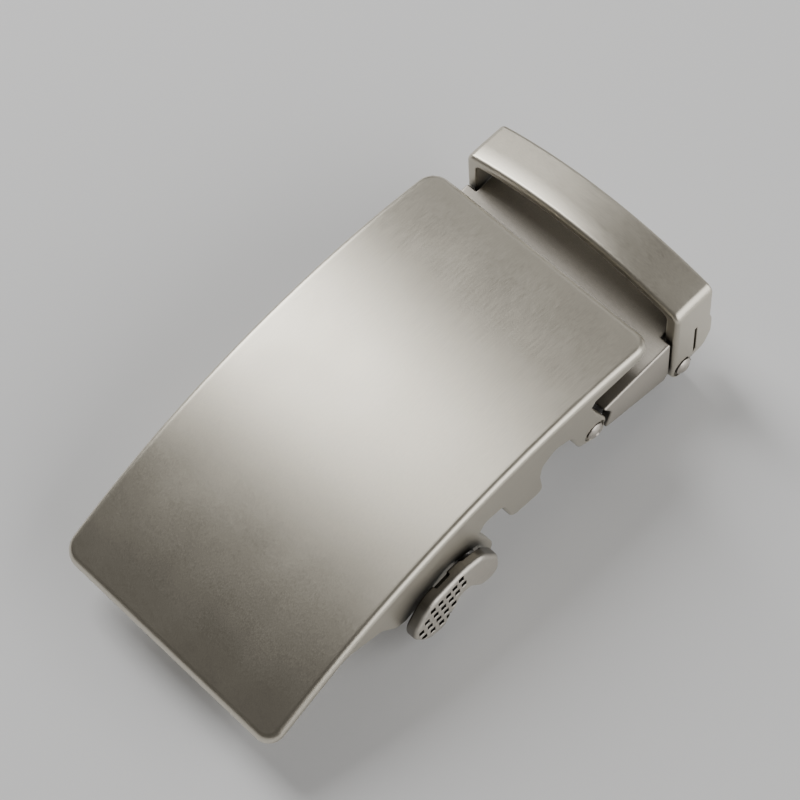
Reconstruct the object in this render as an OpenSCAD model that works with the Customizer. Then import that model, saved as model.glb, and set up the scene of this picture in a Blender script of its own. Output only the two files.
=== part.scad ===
// Automatic (ratchet) belt buckle for a 35 mm strap, as it lies on its back on a table.
// X runs along the belt from the low end of the face to the clamp loop, Y runs across the belt
// with the release lever on the -Y side, and Z is up. The table is Z = 0.
// Inside the modules x is measured from the low end of the face, and place() centres the buckle.

/* [Face] */
// Width of the face across the belt
face_w = 40; // [39.5:0.1:40.5]
// Length of the face along its chord
face_l = 71.8; // [71.4:0.1:72.2]
// Rise of the face's arch over its chord
face_rise = 5.7; // [5.5:0.1:6]
// Thickness of the face plate
plate_t = 1.6; // [1.4:0.1:1.8]
// Rounding of the long edges
edge_r = 1.0; // [0.6:0.1:1.2]
// Radius of the corners seen from above
corner_r = 2.7; // [2:0.1:3.2]
// Tilt of the chord as the buckle lies, in degrees
tilt = 10.2; // [10.1:0.1:10.3]
// Height of the low end of the face
low_end_z = 9.45; // [9.4:0.01:9.5]

/* [Side walls] */
// Thickness of the side walls
wall_t = 1.8; // [1.6:0.1:1.9]
// Inward lean of the side walls for each millimetre of depth
wall_lean = 0.06; // [0.05:0.005:0.065]
// Depth of the pocket behind the release lever
pocket_d = 0.8; // [0.5:0.1:1]

/* [Strap clip] */
// Half width of the clip
clip_half_w = 18.9; // [18.7:0.1:19]
// Thickness of the clip's side walls
clip_wall_t = 1.4; // [1.2:0.1:1.5]
// Height of the clip plate's upper face at the loop's end of the walls
clip_top_z = 13.5; // [13.4:0.1:13.6]
// Rise of the clip plate for each millimetre towards the loop
clip_slope = 0.075; // [0.06:0.005:0.08]
// Thickness of the clip plate
clip_plate_t = 1.6; // [1.4:0.1:1.8]

/* [Clamp loop] */
// Half width of the clamp loop
loop_half_w = 19.4; // [19.2:0.1:19.6]
// Thickness of the legs
leg_t = 2.0; // [1.8:0.1:2.2]
// Height of the bridge over the table at its middle
bridge_top_z = 22.6; // [22.4:0.1:23]
// Thickness of the bridge
bridge_t = 1.5; // [1.3:0.1:1.8]
// Radius of the bridge's crown
bridge_r = 65; // [60:1:70]
// Height of each tooth on the jaw
tooth_h = 0.8; // [0.6:0.1:1]
// Number of teeth on the jaw
teeth = 9; // [5:2:11]

/* [Pins and shaft] */
// Radius of the two pins
pin_r = 1.05; // [1:0.05:1.1]
// Radius of the pins' heads
head_r = 1.35; // [1.3:0.05:1.4]
// Radius of the lever shaft
shaft_r = 1.5; // [1.3:0.1:1.6]
// Radial play of the pins and the shaft in their holes
play = 0.05; // [0.03:0.01:0.08]

/* [Release lever] */
// Thickness of the lever
lever_t = 1.95; // [1.7:0.05:2]
// Distance of the lever's inner face from the middle of the face
lever_y = 19.95; // [19.9:0.05:20]
// Depth of the pits on the lever
pit_d = 0.45; // [0.3:0.05:0.5]

/* [Hidden] */
$fn = 96;

// Centres of the hinge pin, the clamp pin, the clip's foot under it and the lever shaft: [x, z]
hinge_at = [60.6, 10.5];
clamp_at = [78.25, 5.2];
foot_at = [78.1, 2.2];
shaft_at = [36.4, 7.8];

// The arch of the face, and its centre from the chord's height and tilt
arch_r = (pow(face_l / 2, 2) + pow(face_rise, 2)) / (2 * face_rise);
arch_x = face_l / 2 * cos(tilt) + (arch_r - face_rise) * sin(tilt);
arch_z = low_end_z + face_l / 2 * sin(tilt) - (arch_r - face_rise) * cos(tilt);

half_w = face_w / 2;
wall_depth = 24;
fillet_in = 0.8;
reach = 30;
loop_front_x = 76.3;
loop_back_x = 83.3;
loop_end_x = 84.3;
bridge_foot_z = 15;
bridge_span = 10;
middle_x = loop_end_x / 2;
lever_face_y = lever_y + lever_t;
middle_y = (half_w - lever_face_y) / 2;
head_sink = 0.45;
head_dome = 0.55;
head_edge = 0.55;
seat_play = 0.45;
head_play = 0.05;
ear_in_y = 17.0;
ear_t = 1.4;
ear_lobe_r = 2.8;
lug_lobe_r = 2.3;
leg_in_y = loop_half_w - leg_t;
overlap = 0.1;

// Lower edge of the side walls and what lies over it: rows of [x, z, corner radius]
WALL = [
    [-3, 6.3, 0], [14.2, 14.3, 3], [20.4, 11.7, 2.5], [23.1, 7.9, 1.2], [27.5, 6.2, 2.5],
    [30.2, 0, 2], [40.6, 0, 3.5], [41.4, 5.2, 3], [38.7, 12.7, 0.6], [39.7, 14.5, 1],
    [42.8, 14.1, 0.9], [44.9, 7.6, 1.8], [51.0, 6.9, 1.1], [50.2, 12.2, 0.5], [50.5, 14.9, 0.6],
    [52.7, 16.6, 1.2], [55.6, 15.2, 0.7], [57.6, 9.7, 1.2], [61.2, 7.4, 1.5], [62.5, 8.2, 0.8],
    [62.8, 11.2, 1.4], [60.6, 15.8, 2.5], [59.4, 19.0, 0.6], [60.2, 20.1, 0.3], [75, 20.1, 0],
    [75, 35, 0], [-3, 35, 0],
];
// Pocket behind the lever: rows of [x, z, corner radius]
POCKET = [
    [22.5, -2, 0], [24.6, 6.9, 1], [27.4, 8.3, 1.5], [32.6, 11.9, 2], [38.4, 9.0, 3],
    [40.6, 3.0, 1.5], [44, -2, 0],
];
// Inner lug of the clip behind the loop's leg, down to the clamp pin and the foot
CLIP_LUG = [
    [70.5, 12.4, 0], [70.5, 4.9, 1], [76.6, 0.9, 0], [78.1, 2.2, 0], [78.2, 5.3, 0], [76.6, 7.0, 0],
    [75.6, 8.0, 0.6], [73.4, 8.0, 0.8], [73.4, 12.4, 0],
];
// Inner ear of the clip, from the hinge pin to the clip plate
CLIP_EAR = [
    [57.8, 10.5, 0], [59.6, 12.8, 0], [62.0, 12.3, 0], [67.5, 12.3, 0], [67.5, 6.7, 0.8], [61.8, 7.4, 0],
];
// Webs that join the clip's inner ears and lugs to its side walls
EAR_WEB = [[64.8, 8.8], [67.2, 8.8], [67.2, 12.4], [64.8, 12.4]];
LUG_WEB = [[70.9, 5.9], [75.5, 5.2], [75.5, 7.8], [70.9, 7.8]];
// Clip plate along x: its narrow start between the case's ears, its full width, and its tongue
plate_tab_x = [60.2, 66];
plate_wide_x = [64.3, 75.8];
plate_tongue_x = [74, 81];
tongue_half_w = 17.1;
// Height of the plate's upper face at x
function clip_z(x) = clip_top_z - clip_slope * (plate_wide_x[1] - x);
// Side wall of the clip: rows of [x, z, corner radius], its left end follows the case's ear
clip_wall_from = 62.4;
CLIP_WALL = [
    [clip_wall_from, clip_z(clip_wall_from), 0], [64.3, 10.3, 1.3], [63.2, 7.2, 0.3], [74.9, 4.8, 0],
    [plate_wide_x[1], 5.6, 0], [plate_wide_x[1], clip_top_z, 0],
];
// Leg of the loop: rows of [x, z, corner radius]
LEG = [
    [76.4, 30, 0], [76.1, 6.5, 0.8], [76.1, 3.1, 2.0], [79.3, 3.1, 1.0], [80.3, 4.5, 0.3],
    [82.9, 4.5, 1.6], [84.3, 7.0, 1.5], [84.3, 10.0, 2], [83.4, 13.0, 0.6], [83.3, 30, 0],
];
// Recessed half of the leg
LEG_STEP = [[80.1, -1, 0], [80.1, 12.85, 0.3], [86, 12.85, 0], [86, -1, 0]];
leg_step_d = 0.5;
// Groove down the front of the recess
LEG_GROOVE = [[80.1, 4.9], [81.2, 5.6], [81.2, 11.9], [80.1, 12.85]];
leg_groove_d = 1.1;
// Jaw between the legs: the bar's section, where its teeth stand and how long they are along x
JAW_BAR = [[76.6, 7.9], [80.0, 7.9], [80.0, 8.8], [79.2, 9.2], [76.6, 9.2]];
tooth_from = [76.9, 9.2];
tooth_l = 1.7;
teeth_half_w = 16.2;
tooth_fill = 0.84;
// The lever's peanut outline: rows of [x, z, corner radius]
LEVER = [
    [24.1, 5.9, 3.0], [26.0, 2.7, 3.0], [29.3, 2.2, 1.6], [33.4, 7.6, 1.3], [36.2, 3.8, 2.0],
    [39.7, 3.5, 2.0], [39.7, 8.0, 3.2], [37.2, 11.8, 2.6], [33.2, 12.8, 9.0], [27.0, 11.8, 3.5],
    [24.1, 7.9, 3.0],
];
// Columns of pits on the lever: rows of [x, z, count] for the top pit, and the step down a column
PITS = [
    [32.7, 11.5, 2], [31.5, 10.8, 2], [30.3, 10.4, 3], [28.9, 10.3, 4], [27.5, 10.2, 4], [26.3, 8.5, 3],
    [25.2, 6.9, 2],
];
pit_step = [0.4, -1.9];
pit_size = [0.85, 1.1];
// Skin of the lever over the shaft's end, and the shaft's other end in the far wall
lever_skin = 0.7;
shaft_end_y = 18.9;
// Pawl's arm and tip, from the shaft: rows of [x, z, corner radius]
PAWL = [
    [-1.6, 2.3, 0], [7.4, 7.4, 1.5], [9.0, 8.9, 0.1], [9.5, 7.9, 0], [10.6, 8.6, 0.1], [11.2, 6.4, 0.6],
    [2.4, -1.6, 0],
];
barrel_r = 2.8;
barrel_half = 16.9;
arm_half = 13;

// Largest turn in degrees between neighbouring points of a rounded corner
corner_step = 20;

// Arc of radius r that rounds the corner b between a and c, as points
function corner(a, b, c, r) =
    r == 0 ? [b] :
    let (u = (a - b) / norm(a - b), v = (c - b) / norm(c - b),
         half = acos(u * v) / 2,
         m = b + (u + v) / norm(u + v) * r / sin(half),
         p = b + u * r / tan(half) - m,
         q = b + v * r / tan(half) - m,
         start = atan2(p.y, p.x),
         turn = atan2(p.x * q.y - p.y * q.x, p * q),
         steps = ceil(abs(turn) / corner_step))
    [for (i = [0 : steps]) m + r * [cos(start + turn * i / steps), sin(start + turn * i / steps)]];

// Closed outline whose corners are rounded, from rows of [x, z, corner radius]
function rounded(rows) =
    let (n = len(rows))
    [for (i = [0 : n - 1])
        let (a = rows[(i + n - 1) % n], b = rows[i], c = rows[(i + 1) % n])
        each corner([a.x, a.y], [b.x, b.y], [c.x, c.y], b[2])];

// Centres the buckle over the origin
module place() {
    translate([-middle_x, -middle_y, 0]) children();
}

// Outline in x and z, extruded across the belt from y0 to y1
module across(y0, y1) {
    translate([0, y1, 0]) rotate([90, 0, 0]) linear_extrude(y1 - y0) children();
}

// The same on both sides of the middle, from y0 to y1
module both_sides(y0, y1) {
    across(y0, y1) children();
    across(-y1, -y0) children();
}

// Rod along Y at [x, z]
module rod(at, r, y0, y1) {
    translate([at.x, y1, at.y]) rotate([90, 0, 0]) cylinder(h = y1 - y0, r = r);
}

// Solid of revolution round the arch's axis from a section in radius and y
module swept() {
    translate([arch_x, 0, arch_z]) rotate([90, 0, 0]) rotate_extrude() children();
}

// Half width of the walls' outer face at a depth below the face
function wall_y(depth) = half_w - wall_lean * (depth - edge_r);

// Section of the face plate and its walls
module case_section() {
    foot = arch_r - wall_depth;
    polygon(rounded([
        [foot, -wall_y(wall_depth), 0], [arch_r, -wall_y(0), edge_r],
        [arch_r, wall_y(0), edge_r], [foot, wall_y(wall_depth), 0],
        [foot, wall_y(wall_depth) - wall_t, 0], [arch_r - plate_t, wall_y(plate_t) - wall_t, fillet_in],
        [arch_r - plate_t, wall_t - wall_y(plate_t), fillet_in], [foot, wall_t - wall_y(wall_depth), 0],
    ]));
}

// What the pocket takes off the wall on the lever's side
module pocket_section() {
    foot = arch_r - wall_depth - 1;
    polygon([[foot, reach], [arch_r, reach], [arch_r, wall_y(0) - pocket_d],
             [foot, wall_y(wall_depth + 1) - pocket_d]]);
}

// Outline of the face seen square to its chord
module face_outline() {
    side = half_w + edge_r * wall_lean;
    translate([0, 0, low_end_z]) rotate([0, -tilt, 0]) translate([0, 0, -reach])
        linear_extrude(2 * reach)
            polygon(rounded([[0, -side, corner_r], [face_l, -side, corner_r], [face_l, side, corner_r],
                             [0, side, corner_r]]));
}

module case() {
    color([0.66, 0.63, 0.58]) place() difference() {
        intersection() {
            swept() case_section();
            face_outline();
            across(-reach, reach) polygon(rounded(WALL));
        }
        intersection() {
            swept() pocket_section();
            across(-reach, 0) polygon(rounded(POCKET));
        }
        rod(hinge_at, pin_r + play, -reach, reach);
        rod(shaft_at, shaft_r + play, -reach, reach);
        head_seats(hinge_at, ear_out_y() - head_sink);
    }
}

// Half width of the ear's outer face at the hinge pin
function ear_out_y() = wall_y(arch_r - norm([hinge_at.x - arch_x, hinge_at.y - arch_z]));

// Round seats for a pin's heads, their floors at y from the middle
module head_seats(at, y) {
    for (side = [-1, 1])
        translate([at.x, side * y, at.y]) rotate([-90 * side, 0, 0])
            cylinder(h = reach, r = head_r + seat_play);
}

// Pin with a domed head at each end, the heads' inner faces at y from the middle
module headed_pin(at, y) {
    rod(at, pin_r, -y - overlap, y + overlap);
    for (side = [-1, 1])
        translate([at.x, side * y, at.y]) rotate([-90 * side, 0, 0]) {
            cylinder(h = head_sink, r = head_r);
            translate([0, 0, head_sink]) cylinder(h = head_dome, r1 = head_r, r2 = head_r - head_edge);
        }
}

module hinge_pin() {
    color([0.72, 0.70, 0.66]) place() headed_pin(hinge_at, ear_out_y() - head_sink + head_play);
}

module clamp_pin() {
    color([0.72, 0.70, 0.66]) place() headed_pin(clamp_at, loop_half_w - head_sink + head_play);
}

// Slab of the clip plate from x_range[0] to x_range[1]
module plate_slab(x_range, half) {
    across(-half, half) polygon([
        [x_range[0], clip_z(x_range[0]) - clip_plate_t], [x_range[1], clip_z(x_range[1]) - clip_plate_t],
        [x_range[1], clip_z(x_range[1])], [x_range[0], clip_z(x_range[0])],
    ]);
}

module clip_base() {
    wall_in = clip_half_w - clip_wall_t;
    color([0.60, 0.57, 0.53]) place() difference() {
        union() {
            plate_slab(plate_tab_x, ear_in_y);
            plate_slab(plate_wide_x, clip_half_w);
            plate_slab(plate_tongue_x, tongue_half_w);
            both_sides(wall_in, clip_half_w) polygon(rounded(CLIP_WALL));
            both_sides(ear_in_y - ear_t, ear_in_y) {
                polygon(rounded(CLIP_EAR));
                polygon(rounded(CLIP_LUG));
            }
            both_sides(ear_in_y - overlap, wall_in + overlap) {
                polygon(EAR_WEB);
                polygon(LUG_WEB);
            }
            for (y = [-ear_in_y, ear_in_y - ear_t]) {
                rod(hinge_at, ear_lobe_r, y, y + ear_t);
                rod(clamp_at, lug_lobe_r, y, y + ear_t);
                rod(foot_at, foot_at.y, y, y + ear_t);
            }
        }
        rod(hinge_at, pin_r + play, -reach, reach);
        rod(clamp_at, pin_r + play, -reach, reach);
    }
}

// Cylinder along the belt whose top is the bridge's crown, lowered by drop
module crown(drop) {
    translate([loop_front_x - bridge_span / 2, 0, bridge_top_z - bridge_r]) rotate([0, 90, 0])
        cylinder(h = 2 * bridge_span, r = bridge_r - drop, $fn = 360);
}

module jaw() {
    across(-leg_in_y - overlap, leg_in_y + overlap) polygon(JAW_BAR);
    pitch = 2 * teeth_half_w / teeth;
    foot = pitch * tooth_fill / 2;
    for (i = [0 : teeth - 1])
        translate([tooth_from.x, (i - (teeth - 1) / 2) * pitch, tooth_from.y - overlap])
            rotate([90, 0, 90]) linear_extrude(tooth_l)
                polygon([[-foot, 0], [foot, 0], [0, tooth_h + overlap]]);
}

module clamp_loop() {
    color([0.66, 0.63, 0.58]) place() {
        difference() {
            union() {
                intersection() {
                    both_sides(leg_in_y, loop_half_w) polygon(rounded(LEG));
                    crown(0);
                }
                difference() {
                    intersection() {
                        translate([loop_front_x, -loop_half_w, bridge_foot_z])
                            cube([loop_back_x - loop_front_x, 2 * loop_half_w, bridge_span]);
                        crown(0);
                    }
                    crown(bridge_t);
                }
                jaw();
            }
            both_sides(loop_half_w - leg_step_d, reach) polygon(rounded(LEG_STEP));
            both_sides(loop_half_w - leg_groove_d, reach) polygon(LEG_GROOVE);
            rod(clamp_at, pin_r + play, -reach, reach);
            head_seats(clamp_at, loop_half_w - head_sink);
        }
    }
}

module release_lever() {
    color([0.58, 0.56, 0.52]) place() difference() {
        across(-lever_face_y, -lever_y) polygon(rounded(LEVER));
        rod(shaft_at, shaft_r + play, -lever_face_y + lever_skin, 0);
        for (column = PITS)
            for (i = [0 : column[2] - 1])
                translate([column.x + i * pit_step.x - pit_size.x / 2, -lever_face_y - 1,
                           column.y + i * pit_step.y - pit_size.y / 2])
                    cube([pit_size.x, 1 + pit_d, pit_size.y]);
    }
}

module lever_shaft() {
    color([0.50, 0.49, 0.47]) place() rod(shaft_at, shaft_r, -lever_face_y + lever_skin + play, shaft_end_y);
}

module ratchet_pawl() {
    color([0.45, 0.44, 0.42]) place() difference() {
        union() {
            rod(shaft_at, barrel_r, -barrel_half, barrel_half);
            translate([shaft_at.x, 0, shaft_at.y])
                across(-arm_half, arm_half) polygon(rounded(PAWL));
        }
        rod(shaft_at, shaft_r + play, -reach, reach);
    }
}

case();
hinge_pin();
clip_base();
clamp_loop();
clamp_pin();
release_lever();
lever_shaft();
ratchet_pawl();
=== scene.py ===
import math

import bpy
import numpy as np
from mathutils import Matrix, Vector


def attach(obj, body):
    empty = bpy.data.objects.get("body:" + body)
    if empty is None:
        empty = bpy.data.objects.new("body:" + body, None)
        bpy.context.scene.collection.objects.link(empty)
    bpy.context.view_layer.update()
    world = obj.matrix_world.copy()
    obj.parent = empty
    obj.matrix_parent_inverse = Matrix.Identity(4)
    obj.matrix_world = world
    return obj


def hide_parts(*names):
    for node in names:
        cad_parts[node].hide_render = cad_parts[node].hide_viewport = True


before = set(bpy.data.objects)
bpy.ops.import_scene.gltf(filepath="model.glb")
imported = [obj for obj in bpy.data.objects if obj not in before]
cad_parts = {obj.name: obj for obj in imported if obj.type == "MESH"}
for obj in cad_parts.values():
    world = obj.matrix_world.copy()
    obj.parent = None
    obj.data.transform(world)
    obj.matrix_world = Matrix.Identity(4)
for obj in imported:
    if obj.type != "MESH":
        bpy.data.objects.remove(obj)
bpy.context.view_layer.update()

# Lengths are in millimetres and x is measured from the low end of the face, as in the solids.
# finished_mesh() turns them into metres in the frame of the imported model.
SHIFT = np.array([-42.15, 0.95, 0.0])

TILT = math.radians(10.2)
FACE_L = 71.8
FACE_RISE = 5.7
LOW_END_Z = 9.45
HALF_W = 19.992
PLATE_T = 1.6
EDGE_R = 1.0
CORNER_R = 2.7
WALL_T = 1.8
WALL_LEAN = 0.06
FILLET_IN = 0.8
ARCH_R = (FACE_L ** 2 / 4 + FACE_RISE ** 2) / (2 * FACE_RISE)
ARCH_X = FACE_L / 2 * math.cos(TILT) + (ARCH_R - FACE_RISE) * math.sin(TILT)
ARCH_Z = LOW_END_Z + FACE_L / 2 * math.sin(TILT) - (ARCH_R - FACE_RISE) * math.cos(TILT)
ARCH_TRIM = 0.012

HINGE_AT = (60.6, 10.5)
CLAMP_AT = (78.25, 5.2)
FOOT_AT = (78.1, 2.2)
SHAFT_AT = (36.4, 7.8)
PIN_R = 1.05
HEAD_R = 1.35
HEAD_SINK = 0.45
HEAD_DOME = 0.55
SEAT_PLAY = 0.45
HEAD_PLAY = 0.05
SHAFT_R = 1.5
PLAY = 0.05

CLIP_HALF_W = 18.9
CLIP_WALL_T = 1.4
CLIP_TOP_Z = 13.5
CLIP_PLATE_T = 1.6
CLIP_SLOPE = 0.075
CLIP_END_X = 75.8
EAR_IN_Y = 17.0
EAR_T = 1.4
EAR_LOBE_R = 2.8
LUG_LOBE_R = 2.3
LOOP_HALF_W = 19.4
LEG_T = 2.0
LEG_STEP_D = 0.5
LEG_GROOVE_D = 1.1
BRIDGE_TOP_Z = 22.6
BRIDGE_T = 1.5
BRIDGE_R = 65.0
LEVER_Y = 19.95
LEVER_T = 1.95
POCKET_D = 0.8

# Outlines seen from the side, as rows of x, z and corner radius
WALL = [
    (-3, 6.3, 0), (14.2, 14.3, 3), (20.4, 11.7, 2.5), (23.1, 7.9, 1.2), (27.5, 6.2, 2.5),
    (30.2, 0, 2), (40.6, 0, 3.5), (41.4, 5.2, 3), (38.7, 12.7, 0.6), (39.7, 14.5, 1),
    (42.8, 14.1, 0.9), (44.9, 7.6, 1.8), (51.0, 6.9, 1.1), (50.2, 12.2, 0.5), (50.5, 14.9, 0.6),
    (52.7, 16.6, 1.2), (55.6, 15.2, 0.7), (57.6, 9.7, 1.2), (61.2, 7.4, 1.5), (62.5, 8.2, 0.8),
    (62.8, 11.2, 1.4), (60.6, 15.8, 2.5), (59.4, 19.0, 0.6), (60.2, 20.1, 0.3), (75, 20.1, 0),
    (75, 35, 0), (-3, 35, 0),
]
POCKET = [
    (22.5, -2, 0), (24.6, 6.9, 1), (27.4, 8.3, 1.5), (32.6, 11.9, 2), (38.4, 9.0, 3),
    (40.6, 3.0, 1.5), (44, -2, 0),
]
CLIP_WALL = [
    (61.1, 15.0, 0), (64.3, 10.3, 1.3), (63.2, 7.2, 0.3), (74.9, 4.8, 0), (75.8, 5.6, 0),
    (75.8, 15.0, 0),
]
CLIP_LUG = [
    (70.5, 12.4, 0), (70.5, 4.9, 1), (76.6, 0.9, 0), (78.1, 2.2, 0), (78.2, 5.3, 0),
    (76.6, 7.0, 0), (75.6, 8.0, 0.6), (73.4, 8.0, 0.8), (73.4, 12.4, 0),
]
CLIP_EAR = [
    (57.8, 10.5, 0), (59.6, 12.8, 0), (62.0, 12.3, 0), (67.5, 12.3, 0), (67.5, 6.7, 0.8),
    (61.8, 7.4, 0),
]
LEG = [
    (76.4, 30, 0), (76.1, 6.5, 0.8), (76.1, 3.1, 2.0), (79.3, 3.1, 1.0), (80.3, 4.5, 0.3),
    (82.9, 4.5, 1.6), (84.3, 7.0, 1.5), (84.3, 10.0, 2), (83.4, 13.0, 0.6), (83.3, 30, 0),
]
LEG_STEP = [(80.1, -1, 0), (80.1, 12.85, 0.3), (86, 12.85, 0), (86, -1, 0)]
LEG_GROOVE = [(80.1, 4.9, 0), (81.2, 5.6, 0), (81.2, 11.9, 0), (80.1, 12.85, 0)]
JAW_BAR = [(76.6, 7.9, 0), (80.0, 7.9, 0), (80.0, 8.8, 0), (79.2, 9.2, 0), (76.6, 9.2, 0)]
LEVER = [
    (24.1, 5.9, 3.0), (26.0, 2.7, 3.0), (29.3, 2.2, 1.6), (33.4, 7.6, 1.3), (36.2, 3.8, 2.0),
    (39.7, 3.5, 2.0), (39.7, 8.0, 3.2), (37.2, 11.8, 2.6), (33.2, 12.8, 9.0),
    (27.0, 11.8, 3.5), (24.1, 7.9, 3.0),
]
PAWL = [
    (-1.6, 2.3, 0), (7.4, 7.4, 1.5), (9.0, 8.9, 0.1), (9.5, 7.9, 0), (10.6, 8.6, 0.1),
    (11.2, 6.4, 0.6), (2.4, -1.6, 0),
]


# Outlines and distances

# Largest turn between two points of a rounded corner, in radians
ARC_STEP = 0.13


def rounded(rows, moved=(0.0, 0.0)):
    """Points of a closed outline whose corners are rounded by their radii."""
    points = []
    for i, (bx, bz, radius) in enumerate(rows):
        corner = Vector((bx, bz))
        before = Vector(rows[i - 1][:2]) - corner
        after = Vector(rows[(i + 1) % len(rows)][:2]) - corner
        if radius == 0:
            points.append(corner + Vector(moved))
            continue
        before.normalize()
        after.normalize()
        half = math.acos(max(-1.0, min(1.0, before.dot(after)))) / 2
        middle = corner + (before + after).normalized() * radius / math.sin(half)
        first = corner + before * radius / math.tan(half) - middle
        last = corner + after * radius / math.tan(half) - middle
        turn = math.atan2(first.x * last.y - first.y * last.x, first.dot(last))
        start = math.atan2(first.y, first.x)
        steps = max(2, math.ceil(abs(turn) / ARC_STEP))
        for k in range(steps + 1):
            angle = start + turn * k / steps
            points.append(middle + Vector((math.cos(angle), math.sin(angle))) * radius
                          + Vector(moved))
    return [(p.x, p.y) for p in points]


def outline(points, x, z):
    """Distance from the outline seen from the side, negative inside it."""
    shape = np.broadcast(x, z).shape
    nearest = np.full(shape, 1e12)
    inside = np.zeros(shape, bool)
    for (ax, az), (bx, bz) in zip(points, points[1:] + points[:1]):
        ex, ez = bx - ax, bz - az
        wx, wz = x - ax, z - az
        along = np.clip((wx * ex + wz * ez) / (ex * ex + ez * ez), 0, 1)
        nearest = np.minimum(nearest, (wx - ex * along) ** 2 + (wz - ez * along) ** 2)
        above, below, left = z >= az, z < bz, ex * wz > ez * wx
        inside ^= (above & below & left) | (~above & ~below & ~left)
    return np.where(inside, -1, 1) * np.sqrt(nearest)


def both(a, b, radius):
    """What two solids share, with the edge between them rounded."""
    return (np.minimum(np.maximum(a, b), -radius)
            + np.hypot(np.maximum(a + radius, 0), np.maximum(b + radius, 0)))


def either(a, b, radius):
    """Two solids as one, with the inner corner between them filled to a radius."""
    return (np.maximum(np.minimum(a, b), radius)
            - np.hypot(np.maximum(radius - a, 0), np.maximum(radius - b, 0)))


def rod(at, radius, x, z):
    return np.hypot(x - at[0], z - at[1]) - radius


def slab(value, low, high):
    return np.abs(value - (low + high) / 2) - (high - low) / 2


def arch_depth(x, z):
    return ARCH_R - ARCH_TRIM - np.hypot(x - ARCH_X, z - ARCH_Z)


def wall_y(depth):
    return HALF_W - WALL_LEAN * (depth - EDGE_R)


# Distance fields of the pieces

WALL_LINE = rounded(WALL)
POCKET_LINE = rounded(POCKET)
EAR_OUT_Y = wall_y(ARCH_R - math.hypot(HINGE_AT[0] - ARCH_X, HINGE_AT[1] - ARCH_Z))
SHELL_EDGE = 0.25
WALL_EDGE = 0.38
POCKET_FILLET = 0.75
POCKET_EDGE = 0.45
HOLE_EDGE = 0.15


def case_field(x, y, z):
    depth = arch_depth(x, z)
    width = np.abs(y)
    along = x * math.cos(TILT) + (z - LOW_END_Z) * math.sin(TILT)
    sides = width - wall_y(depth)
    plan = both(slab(along, 0, FACE_L), sides, CORNER_R)
    outer = both(-depth, plan, EDGE_R)
    hollow = both(PLATE_T - depth, sides + WALL_T, FILLET_IN)
    shell = both(outer, -hollow, SHELL_EDGE)
    solid = both(shell, outline(WALL_LINE, x, z), WALL_EDGE)
    pocket = both(outline(POCKET_LINE, x, z), y + wall_y(depth) - POCKET_D, POCKET_FILLET)
    solid = both(solid, -pocket, POCKET_EDGE)
    seat = np.maximum(rod(HINGE_AT, HEAD_R + SEAT_PLAY, x, z), EAR_OUT_Y - HEAD_SINK - width)
    holes = np.minimum(rod(HINGE_AT, PIN_R + PLAY, x, z), rod(SHAFT_AT, SHAFT_R + PLAY, x, z))
    return both(solid, -np.minimum(holes, seat), HOLE_EDGE)


CLIP_WALL_LINE = rounded(CLIP_WALL)
CLIP_LUG_LINE = rounded(CLIP_LUG)
CLIP_EAR_LINE = rounded(CLIP_EAR)
CLIP_EDGE = 0.35
CLIP_FILLET = 0.5
CLIP_INNER_EDGE = 0.2
CLIP_END_EDGE = 0.25
PLATE_EDGE = 0.2
TAB_X = (60.2, 66)
TAB_CORNER_R = 0.6
TONGUE_X = (74, 81)
TONGUE_HALF_W = 17.1
TONGUE_CORNER_R = 1.2
EAR_EDGE = 0.22
EAR_FILLET = 0.3
# Webs that join the ears and the lugs to the walls, as x and z ranges
EAR_WEB = ((64.8, 67.2), (8.8, 12.4))
LUG_WEB = ((70.9, 75.5), (5.5, 7.8))
WEB_OVERLAP = 0.1


def clip_field(x, y, z):
    width = np.abs(y)
    wall_in = CLIP_HALF_W - CLIP_WALL_T
    over_top = z - CLIP_TOP_Z + CLIP_SLOPE * (CLIP_END_X - x)
    outer = both(width - CLIP_HALF_W, over_top, CLIP_EDGE)
    hollow = both(width - wall_in, over_top + CLIP_PLATE_T, CLIP_FILLET)
    channel = both(outer, -hollow, CLIP_INNER_EDGE)
    channel = both(channel, outline(CLIP_WALL_LINE, x, z), CLIP_END_EDGE)
    plate_z = slab(over_top, -CLIP_PLATE_T, 0)
    tab = both(both(slab(x, *TAB_X), width - EAR_IN_Y, TAB_CORNER_R), plate_z, PLATE_EDGE)
    tongue = both(slab(x, *TONGUE_X), width - TONGUE_HALF_W, TONGUE_CORNER_R)
    tongue = both(tongue, plate_z, PLATE_EDGE)
    plates = np.minimum(channel, np.minimum(tab, tongue))
    ear_side = slab(width, EAR_IN_Y - EAR_T, EAR_IN_Y)
    ear = np.minimum(outline(CLIP_EAR_LINE, x, z), rod(HINGE_AT, EAR_LOBE_R, x, z))
    lobe = either(rod(CLAMP_AT, LUG_LOBE_R, x, z), rod(FOOT_AT, FOOT_AT[1], x, z), EAR_FILLET)
    lug = np.minimum(outline(CLIP_LUG_LINE, x, z), lobe)
    ears = both(np.minimum(ear, lug), ear_side, EAR_EDGE)
    web_side = slab(width, EAR_IN_Y - WEB_OVERLAP, wall_in + WEB_OVERLAP)
    webs = np.minimum(*(np.maximum(slab(x, *web_x), slab(z, *web_z))
                        for web_x, web_z in (EAR_WEB, LUG_WEB)))
    solid = np.minimum(either(plates, ears, EAR_FILLET), np.maximum(webs, web_side))
    holes = np.minimum(rod(HINGE_AT, PIN_R + PLAY, x, z), rod(CLAMP_AT, PIN_R + PLAY, x, z))
    return both(solid, -holes, HOLE_EDGE)


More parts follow.
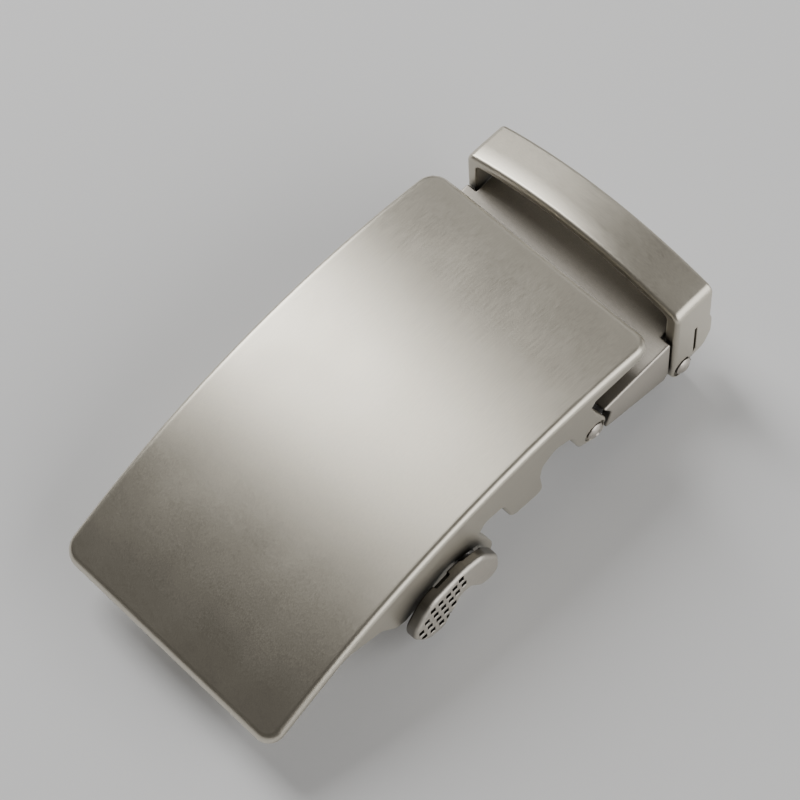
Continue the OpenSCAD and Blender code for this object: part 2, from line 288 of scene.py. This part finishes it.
LEG_LINE = rounded(LEG)
LEG_STEP_LINE = rounded(LEG_STEP)
LEG_GROOVE_LINE = rounded(LEG_GROOVE)
JAW_BAR_LINE = rounded(JAW_BAR)
TEETH = 9
TEETH_HALF_W = 16.2
TOOTH_H = 0.8
TOOTH_FILL = 0.84
TOOTH_X = (76.9, 78.6)
TOOTH_ROOT_Z = 8.9
JAW_TOP_Z = 9.2
JAW_OVERLAP = 0.3
JAW_EDGE = 0.2
TOOTH_EDGE = 0.1
TOOTH_END_EDGE = 0.05
JAW_FILLET = 0.1
# The bridge's top bends down towards its front, from an x and to a reach, with a radius
CROWN_FROM_X = 79.3
CROWN_REACH = 3
CROWN_R = 20
SIDE_EDGE = 1.1
LEG_EDGE = 0.5
# The front edge above the leg's foot is rounder, blended in over a length and a height
FRONT_EDGE_MORE = 0.2
FRONT_X = 79.0
FRONT_BLEND_X = 1.5
FRONT_Z = 7.0
FRONT_BLEND_Z = 3.0
BRIDGE_FILLET = 0.7
LOOP_INNER_EDGE = 0.35
STEP_EDGE = 0.06
SEAT_EDGE = 0.12


def loop_field(x, y, z):
    width = np.abs(y)
    leg_in = LOOP_HALF_W - LEG_T
    crown = np.hypot(y, z - (BRIDGE_TOP_Z - BRIDGE_R)) - BRIDGE_R
    leg = outline(LEG_LINE, x, z)
    front = np.clip((FRONT_X - x) / FRONT_BLEND_X, 0, 1) * np.clip((z - FRONT_Z) / FRONT_BLEND_Z, 0, 1)
    crown = crown + np.clip(CROWN_FROM_X - x, 0, CROWN_REACH) ** 2 / (2 * CROWN_R)
    outer = both(width - LOOP_HALF_W, crown, SIDE_EDGE)
    outer = both(outer, leg, LEG_EDGE + FRONT_EDGE_MORE * front)
    hollow = both(width - leg_in, crown + BRIDGE_T, BRIDGE_FILLET)
    solid = both(outer, -hollow, LOOP_INNER_EDGE)
    step = np.maximum(outline(LEG_STEP_LINE, x, z), LOOP_HALF_W - LEG_STEP_D - width)
    groove = np.maximum(outline(LEG_GROOVE_LINE, x, z), LOOP_HALF_W - LEG_GROOVE_D - width)
    solid = both(solid, -np.minimum(step, groove), STEP_EDGE)
    bar = both(outline(JAW_BAR_LINE, x, z), width - leg_in - JAW_OVERLAP, JAW_EDGE)
    pitch = 2 * TEETH_HALF_W / TEETH
    from_tooth = np.abs((y + pitch / 2) % pitch - pitch / 2)
    slope = TOOTH_H / (pitch * TOOTH_FILL / 2)
    tooth = (z - JAW_TOP_Z - TOOTH_H + slope * from_tooth) / math.hypot(1, slope)
    tooth_ends = np.maximum(TOOTH_ROOT_Z - z, width - TEETH_HALF_W)
    teeth = both(both(tooth, slab(x, *TOOTH_X), TOOTH_EDGE), tooth_ends, TOOTH_END_EDGE)
    solid = either(solid, np.minimum(bar, teeth), JAW_FILLET)
    seat = np.maximum(rod(CLAMP_AT, HEAD_R + SEAT_PLAY, x, z), LOOP_HALF_W - HEAD_SINK - width)
    hole = rod(CLAMP_AT, PIN_R + PLAY, x, z)
    return both(solid, -np.minimum(hole, seat), SEAT_EDGE)


LEVER_LINE = rounded(LEVER)
# Columns of pits, as x, z and count from the top pit, and the step down a column
PITS = [
    (32.7, 11.5, 2), (31.5, 10.8, 2), (30.3, 10.4, 3), (28.9, 10.3, 4), (27.5, 10.2, 4),
    (26.3, 8.5, 3), (25.2, 6.9, 2),
]
PIT_STEP = (0.4, -1.9)
PIT_SIZE = (0.85, 1.1)
PIT_D = 0.45
# Notches in the back edge of the rim, as first x, last x and depth
RIM_NOTCHES = [(29.4, 31.9, 0.65), (34.2, 37.6, 0.35)]
NOTCH_INTO_RIM = 0.8
NOTCH_FILLET = 0.2
NOTCH_EDGE = 0.1
LEVER_FACE_EDGE = 0.75
LEVER_BACK_EDGE = 0.35
PIT_CORNER_R = 0.15
PIT_FILLET = 0.1
PIT_EDGE = 0.08
# Metal left in front of the shaft's end
SOCKET_COVER = 0.7
NOTHING = 1e3


def lever_field(x, y, z):
    face = -(LEVER_Y + LEVER_T)
    line = outline(LEVER_LINE, x, z)
    solid = both(both(line, face - y, LEVER_FACE_EDGE), y + LEVER_Y, LEVER_BACK_EDGE)
    pits = NOTHING
    for column_x, top_z, count in PITS:
        for i in range(count):
            pit_x = np.abs(x - column_x - i * PIT_STEP[0]) - PIT_SIZE[0] / 2
            pit_z = np.abs(z - top_z - i * PIT_STEP[1]) - PIT_SIZE[1] / 2
            pits = np.minimum(pits, both(pit_x, pit_z, PIT_CORNER_R))
    solid = both(solid, -both(pits, y - face - PIT_D, PIT_FILLET), PIT_EDGE)
    for first_x, last_x, depth in RIM_NOTCHES:
        notch = both(slab(x, first_x, last_x), -LEVER_Y - depth - y, NOTCH_FILLET)
        solid = both(solid, -both(notch, -NOTCH_INTO_RIM - line, NOTCH_FILLET), NOTCH_EDGE)
    socket = np.maximum(rod(SHAFT_AT, SHAFT_R + PLAY, x, z), face + SOCKET_COVER - y)
    return np.maximum(solid, -socket)


PAWL_LINE = rounded(PAWL, SHAFT_AT)
BARREL_R = 2.8
BARREL_HALF_W = 16.9
PAWL_HALF_W = 13
PAWL_EDGE = 0.3
PAWL_FILLET = 0.5


def pawl_field(x, y, z):
    width = np.abs(y)
    barrel = both(rod(SHAFT_AT, BARREL_R, x, z), width - BARREL_HALF_W, PAWL_EDGE)
    arm = both(outline(PAWL_LINE, x, z), width - PAWL_HALF_W, PAWL_EDGE)
    bore = rod(SHAFT_AT, SHAFT_R + PLAY, x, z)
    return np.maximum(either(barrel, arm, PAWL_FILLET), -bore)


# Meshing

def ticks(*spans):
    """Grid lines from spans of (start, end, step)."""
    lines = [spans[0][0]]
    for start, end, step in spans:
        count = max(1, round((end - start) / step))
        lines.extend(start + (end - start) * (k + 1) / count for k in range(count))
    return np.array(lines)


def gradient(field, p):
    """Slope of a distance field at points, from samples on both sides of each."""
    eps = 0.01
    parts = []
    for axis in range(3):
        ahead = [p[:, 0], p[:, 1], p[:, 2]]
        behind = list(ahead)
        ahead[axis] = ahead[axis] + eps
        behind[axis] = behind[axis] - eps
        parts.append((field(*ahead) - field(*behind)) / (2 * eps))
    return np.stack(parts, 1)


# Rounds that move each vertex onto the surface
SETTLE_ROUNDS = 4


def skin(field, xs, ys, zs, reach):
    """Surface of a distance field as quads: one vertex in each grid cell that it crosses."""
    value = np.broadcast_to(field(xs[:, None, None], ys[None, :, None], zs[None, None, :]),
                            (len(xs), len(ys), len(zs)))
    inside = value < 0
    corners = [(i, j, k) for i in (0, 1) for j in (0, 1) for k in (0, 1)]
    size = [n - 1 for n in value.shape]

    def at(array, corner):
        return array[tuple(slice(c, c + n) for c, n in zip(corner, size))]

    count = sum(at(inside, c).astype(np.int8) for c in corners)
    cells = np.argwhere((count > 0) & (count < 8))
    index = np.full(size, -1, np.int64)
    index[tuple(cells.T)] = np.arange(len(cells))
    lines = (xs, ys, zs)
    total = np.zeros((len(cells), 3))
    crossings = np.zeros(len(cells))
    for a in corners:
        for axis in range(3):
            if a[axis]:
                continue
            b = list(a)
            b[axis] = 1
            va = value[tuple((cells + a).T)]
            vb = value[tuple((cells + b).T)]
            cut = (va < 0) != (vb < 0)
            part = np.where(cut, va / np.where(cut, va - vb, 1), 0)
            for d in range(3):
                start = lines[d][cells[:, d] + a[d]]
                end = lines[d][cells[:, d] + b[d]]
                total[:, d] += np.where(cut, start + (end - start) * part, 0)
            crossings += cut
    points = total / crossings[:, None]
    quads = []
    for axis in range(3):
        ahead = [slice(None)] * 3
        behind = [slice(None)] * 3
        ahead[axis], behind[axis] = slice(1, None), slice(None, -1)
        first, last = inside[tuple(behind)], inside[tuple(ahead)]
        edges = np.argwhere(first != last)
        u, v = (axis + 1) % 3, (axis + 2) % 3
        keep = (edges[:, u] > 0) & (edges[:, v] > 0)
        keep &= (edges[:, u] < size[u]) & (edges[:, v] < size[v])
        edges = edges[keep]
        leaves = first[tuple(edges.T)]
        ring = []
        for du, dv in ((-1, -1), (0, -1), (0, 0), (-1, 0)):
            cell = edges.copy()
            cell[:, u] += du
            cell[:, v] += dv
            ring.append(index[tuple(cell.T)])
        ring = np.stack(ring, 1)
        quads.append(np.where(leaves[:, None], ring, ring[:, ::-1]))
    quads = np.concatenate(quads)
    for _ in range(SETTLE_ROUNDS):
        slope = gradient(field, points)
        step = field(*points.T) / np.maximum((slope ** 2).sum(1), 0.2)
        points = points - np.clip(step, -reach, reach)[:, None] * slope
    slope = gradient(field, points)
    normals = slope / np.maximum(np.linalg.norm(slope, axis=1), 1e-6)[:, None]
    return points, quads, normals


def finished_mesh(name, points, faces, normals=None):
    """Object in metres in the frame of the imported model, from points in millimetres."""
    mesh = bpy.data.meshes.new(name)
    mesh.from_pydata(((points + SHIFT) / 1000).tolist(), [], [list(f) for f in faces])
    mesh.polygons.foreach_set("use_smooth", [True] * len(mesh.polygons))
    if normals is not None:
        mesh.normals_split_custom_set_from_vertices(normals.tolist())
    mesh.update()
    piece = bpy.data.objects.new(name, mesh)
    bpy.context.scene.collection.objects.link(piece)
    return piece


def lathe(profile, at, turns=64):
    """Points and faces of a profile of (radius, y) turned about the axis along Y at x, z."""
    rings = []
    faces = []
    for radius, y in profile:
        for k in range(turns):
            angle = 2 * math.pi * k / turns
            rings.append((at[0] + radius * math.cos(angle), y, at[1] + radius * math.sin(angle)))
    for i in range(len(profile) - 1):
        for k in range(turns):
            n = (k + 1) % turns
            faces.append((i * turns + k, i * turns + n, (i + 1) * turns + n, (i + 1) * turns + k))
    faces.append(tuple(range(turns))[::-1])
    last = (len(profile) - 1) * turns
    faces.append(tuple(last + k for k in range(turns)))
    return np.array(rings), faces


def arc(cx, cy, radius, start, end, steps):
    return [(cx + radius * math.cos(math.radians(start + (end - start) * k / steps)),
             cy + radius * math.sin(math.radians(start + (end - start) * k / steps)))
            for k in range(steps + 1)]


def pin_profile(head_in_y, dimple):
    """Half profile of a pin with a domed head, from its middle out to the dome's top."""
    top = head_in_y + HEAD_SINK + HEAD_DOME
    rim = head_in_y + HEAD_SINK
    sphere = (HEAD_R ** 2 + HEAD_DOME ** 2) / (2 * HEAD_DOME)
    opening = math.degrees(math.asin(HEAD_R / sphere))
    inner = math.degrees(math.asin(max(dimple, 0.02) / sphere))
    dome = arc(0, top - sphere, sphere, 90 - opening, 90 - inner, 8)
    hollow = [(dimple * part, dome[-1][1] - 0.5 * dimple * (1 - part * part))
              for part in (0.8, 0.6, 0.4, 0.2, 0.05)] if dimple else []
    return [(PIN_R, 0.0), (PIN_R, head_in_y), (HEAD_R, head_in_y), (HEAD_R, rim)] + dome[1:] + hollow


def pin(name, at, head_in_y, dimple=0.0):
    """Pin with a domed head at each end, its edges slightly rolled."""
    half = pin_profile(head_in_y, dimple)
    profile = [(r, -y) for r, y in reversed(half)] + half[1:]
    points, faces = lathe(profile, at)
    piece = finished_mesh(name, points, faces)
    edges = piece.modifiers.new("edges", "BEVEL")
    edges.width = 0.00006
    edges.segments = 2
    edges.limit_method = "ANGLE"
    edges.angle_limit = math.radians(40)
    edges.harden_normals = True
    return piece


# Materials

def node(tree, kind, **settings):
    made = tree.nodes.new(kind)
    for key, value in settings.items():
        if key in made.inputs:
            made.inputs[key].default_value = value
        else:
            setattr(made, key, value)
    return made


def ramp(tree, source, low, high, from_value, to_value):
    made = tree.nodes.new("ShaderNodeMapRange")
    made.inputs["From Min"].default_value = from_value
    made.inputs["From Max"].default_value = to_value
    made.inputs["To Min"].default_value = low
    made.inputs["To Max"].default_value = high
    tree.links.new(source, made.inputs["Value"])
    return made.outputs["Result"]


def plated(name, colour, roughness, spread, brush_stretch, brush_depth, hollow_shade, hollow_size):
    """Plated metal: brush lines stretched along one axis, uneven polish, and painted shade that
    darkens the colour in hollows, creases and under overhangs.
    """
    material = bpy.data.materials.new(name)
    material.use_nodes = True
    tree = material.node_tree
    shader = tree.nodes["Principled BSDF"]
    shader.inputs["Metallic"].default_value = 1.0
    place = tree.nodes.new("ShaderNodeTexCoord")
    stretch = tree.nodes.new("ShaderNodeMapping")
    stretch.inputs["Scale"].default_value = brush_stretch
    tree.links.new(place.outputs["Object"], stretch.inputs["Vector"])
    lines = node(tree, "ShaderNodeTexNoise", Scale=1.0, Detail=4.0, Roughness=0.6)
    tree.links.new(stretch.outputs["Vector"], lines.inputs["Vector"])
    cloud = node(tree, "ShaderNodeTexNoise", Scale=90.0, Detail=3.0, Roughness=0.5)
    tree.links.new(place.outputs["Object"], cloud.inputs["Vector"])
    fine = ramp(tree, lines.outputs["Fac"], roughness - spread, roughness + spread, 0.3, 0.7)
    wide = ramp(tree, cloud.outputs["Fac"], -0.02, 0.02, 0.3, 0.7)
    rough = node(tree, "ShaderNodeMath", operation="ADD")
    tree.links.new(fine, rough.inputs[0])
    tree.links.new(wide, rough.inputs[1])
    tree.links.new(rough.outputs[0], shader.inputs["Roughness"])
    dark = tuple(c * 0.94 for c in colour) + (1.0,)
    light = tuple(min(1.0, c * 1.05) for c in colour) + (1.0,)
    tint = tree.nodes.new("ShaderNodeMix")
    tint.data_type = "RGBA"
    tint.inputs["A"].default_value = dark
    tint.inputs["B"].default_value = light
    shade = ramp(tree, lines.outputs["Fac"], 0.0, 1.0, 0.3, 0.7)
    tree.links.new(shade, tint.inputs["Factor"])
    # Painted shade: ambient occlusion within hollow_size takes the given share of the colour off
    # hollows, creases and the undersides of overhangs
    hollow = node(tree, "ShaderNodeAmbientOcclusion", Distance=hollow_size, samples=16)
    hollow_shade_mix = tree.nodes.new("ShaderNodeMix")
    hollow_shade_mix.data_type = "RGBA"
    hollow_shade_mix.inputs["A"].default_value = tuple(c * (1 - hollow_shade) for c in colour) + (1.0,)
    tree.links.new(tint.outputs["Result"], hollow_shade_mix.inputs["B"])
    open_part = ramp(tree, hollow.outputs["AO"], 0.0, 1.0, 0.35, 0.9)
    tree.links.new(open_part, hollow_shade_mix.inputs["Factor"])
    tree.links.new(hollow_shade_mix.outputs["Result"], shader.inputs["Base Color"])
    bump = node(tree, "ShaderNodeBump", Strength=1.0, Distance=brush_depth)
    tree.links.new(lines.outputs["Fac"], bump.inputs["Height"])
    tree.links.new(bump.outputs["Normal"], shader.inputs["Normal"])
    return material


def paint_rim_shade(material, shade_share):
    """Paints shade on the rim round the face across y, where the plate above shades it: leaves the
    face as it is and takes a share of the colour off the rim.
    """
    tree = material.node_tree
    base = tree.nodes["Principled BSDF"].inputs["Base Color"]
    place = tree.nodes.new("ShaderNodeTexCoord")
    parts = tree.nodes.new("ShaderNodeSeparateXYZ")
    tree.links.new(place.outputs["Normal"], parts.inputs["Vector"])
    kept = ramp(tree, parts.outputs["Y"], 1.0, 1.0 - shade_share, -0.85, -0.25)
    scaled = node(tree, "ShaderNodeVectorMath", operation="SCALE")
    tree.links.new(base.links[0].from_socket, scaled.inputs[0])
    tree.links.new(kept, scaled.inputs["Scale"])
    tree.links.new(scaled.outputs["Vector"], base)


# Brush lines along an axis have a small scale on it
ALONG_X = (260.0, 9000.0, 9000.0)
ALONG_Y = (9000.0, 260.0, 9000.0)
ALL_WAYS = (1800.0, 1800.0, 1800.0)
FACE_COLOUR = (0.62, 0.58, 0.49)
FINE_BRUSH = 0.0000012
# Each finish below paints shade into its hollows, creases and undersides: the share of colour taken
# off is given before the reach in metres
satin = plated(
    "satin_nickel", FACE_COLOUR, roughness=0.36, spread=0.035,
    brush_stretch=ALONG_X, brush_depth=FINE_BRUSH, hollow_shade=0.5, hollow_size=0.008)
clip_satin = plated(
    "clip_nickel", (0.58, 0.54, 0.475), roughness=0.45, spread=0.04,
    brush_stretch=ALONG_Y, brush_depth=FINE_BRUSH, hollow_shade=0.85, hollow_size=0.016)
loop_satin = plated(
    "loop_nickel", FACE_COLOUR, roughness=0.38, spread=0.035,
    brush_stretch=ALONG_Y, brush_depth=FINE_BRUSH, hollow_shade=0.7, hollow_size=0.004)
pin_bright = plated(
    "pin_nickel", (0.55, 0.51, 0.455), roughness=0.36, spread=0.03,
    brush_stretch=ALONG_Y, brush_depth=0.0000006, hollow_shade=0.7, hollow_size=0.0025)
lever_shaded = plated(
    "lever_nickel", (0.66, 0.62, 0.55), roughness=0.42, spread=0.04,
    brush_stretch=ALL_WAYS, brush_depth=0.000004, hollow_shade=0.9, hollow_size=0.006)
# Painted shade: the lever's rim is darkened where the case's plate above shades it
paint_rim_shade(lever_shaded, shade_share=0.6)
steel = plated(
    "plain_steel", (0.47, 0.46, 0.44), roughness=0.38, spread=0.05,
    brush_stretch=ALONG_Y, brush_depth=0.000002, hollow_shade=0.4, hollow_size=0.006)


def place_piece(piece, body, nodes, material):
    piece.data.materials.append(material)
    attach(piece, body)
    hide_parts(*nodes)


# Pieces

case = finished_mesh("case_shell", *skin(
    case_field,
    ticks((-0.6, 72.2, 0.3)),
    ticks((-20.4, -16.6, 0.24), (-16.6, 16.6, 1.1), (16.6, 20.4, 0.24)),
    ticks((-0.4, 23.6, 0.3)), 0.15))
place_piece(case, "case_body", ["case"], satin)

clip = finished_mesh("strap_clip", *skin(
    clip_field,
    ticks((57.2, 82.2, 0.22)),
    ticks((-19.3, -15.2, 0.2), (-15.2, 15.2, 1.0), (15.2, 19.3, 0.2)),
    ticks((-0.4, 13.9, 0.22)), 0.1))
place_piece(clip, "clip_body", ["clip_base"], clip_satin)

loop = finished_mesh("strap_loop", *skin(
    loop_field,
    ticks((75.7, 78.0, 0.13), (78.0, 84.7, 0.2)),
    ticks((-19.8, -16.9, 0.16), (-16.9, 16.9, 0.3), (16.9, 19.8, 0.16)),
    ticks((2.8, 18.4, 0.2), (18.4, 23.0, 0.14)), 0.1))
place_piece(loop, "clamp_body", ["clamp_loop"], loop_satin)

lever = finished_mesh("lever_plate", *skin(
    lever_field,
    ticks((23.8, 40.4, 0.14)),
    ticks((-22.1, -21.4, 0.1), (-21.4, -19.8, 0.2)),
    ticks((1.9, 13.3, 0.14)), 0.07))
place_piece(lever, "lever_body", ["release_lever"], lever_shaded)

pawl = finished_mesh("pawl_bar", *skin(
    pawl_field,
    ticks((33.2, 48.0, 0.3)),
    ticks((-17.2, -12.4, 0.3), (-12.4, 12.4, 1.2), (12.4, 17.2, 0.3)),
    ticks((4.7, 17.0, 0.3)), 0.15))
place_piece(pawl, "lever_body", ["ratchet_pawl"], steel)

hinge = pin("hinge_rivet", HINGE_AT, EAR_OUT_Y - HEAD_SINK + HEAD_PLAY, dimple=0.5)
place_piece(hinge, "case_body", ["hinge_pin"], pin_bright)
clamp = pin("clamp_rivet", CLAMP_AT, LOOP_HALF_W - HEAD_SINK + HEAD_PLAY)
place_piece(clamp, "clip_body", ["clamp_pin"], pin_bright)

SHAFT_CHAMFER = 0.3
SHAFT_COVER = 0.75
shaft_start = -(LEVER_Y + LEVER_T) + SHAFT_COVER
shaft_end = 18.9
shaft_profile = [
    (SHAFT_R - SHAFT_CHAMFER, shaft_start), (SHAFT_R, shaft_start + SHAFT_CHAMFER),
    (SHAFT_R, shaft_end - SHAFT_CHAMFER), (SHAFT_R - SHAFT_CHAMFER, shaft_end),
]
shaft = finished_mesh("lever_axle", *lathe(shaft_profile, SHAFT_AT, 48))
place_piece(shaft, "lever_body", ["lever_shaft"], steel)

# Stage: floor, lights and camera

FLOOR_HALF = 3
floor_corners = [(-FLOOR_HALF, -FLOOR_HALF, 0), (FLOOR_HALF, -FLOOR_HALF, 0),
                 (FLOOR_HALF, FLOOR_HALF, 0), (-FLOOR_HALF, FLOOR_HALF, 0)]
floor_mesh = bpy.data.meshes.new("floor")
floor_mesh.from_pydata(floor_corners, [], [(0, 1, 2, 3)])
floor = bpy.data.objects.new("floor", floor_mesh)
bpy.context.scene.collection.objects.link(floor)
floor_material = bpy.data.materials.new("floor")
floor_material.use_nodes = True
floor_shader = floor_material.node_tree.nodes["Principled BSDF"]
floor_shader.inputs["Base Color"].default_value = (0.72, 0.72, 0.72, 1)
floor_shader.inputs["Roughness"].default_value = 0.7
floor_mesh.materials.append(floor_material)

world = bpy.data.worlds.new("studio")
world.use_nodes = True
world.node_tree.nodes["Background"].inputs["Color"].default_value = (1.0, 0.94, 0.86, 1)
world.node_tree.nodes["Background"].inputs["Strength"].default_value = 0.08
bpy.context.scene.world = world


LIT_POINT = Vector((0.0, 0.0, 0.015))


def soft_box(name, direction, distance, size, power):
    """Rectangular light that faces the buckle from a direction."""
    light = bpy.data.lights.new(name, "AREA")
    light.shape = "RECTANGLE"
    light.size, light.size_y = size
    light.energy = power
    made = bpy.data.objects.new(name, light)
    away = Vector(direction).normalized()
    made.location = LIT_POINT + away * distance
    made.rotation_euler = (-away).to_track_quat("-Z", "Y").to_euler()
    bpy.context.scene.collection.objects.link(made)


soft_box("overhead", (0.08, 0.72, 0.69), 0.7, (0.27, 0.62), 4.5)
soft_box("near side", (0.33, -0.82, 0.45), 0.9, (1.3, 0.8), 9.0)
soft_box("far end", (0.85, 0.30, 0.45), 0.8, (0.6, 0.6), 0.6)

SENSOR_W = 36
FRAME_PX = 800
FOCAL_PX = 2474
CAMERA_AT = (-0.09598366, -0.1189773, 0.30114689)
CAMERA_ANGLES = (28.41783, 3.185, -45.04076)
camera_data = bpy.data.cameras.new("camera")
camera_data.sensor_width = SENSOR_W
camera_data.lens = FOCAL_PX / FRAME_PX * SENSOR_W
camera_data.clip_start = 0.01
camera_data.clip_end = 20
camera = bpy.data.objects.new("camera", camera_data)
camera.location = CAMERA_AT
camera.rotation_euler = [math.radians(angle) for angle in CAMERA_ANGLES]
bpy.context.scene.collection.objects.link(camera)
bpy.context.scene.camera = camera
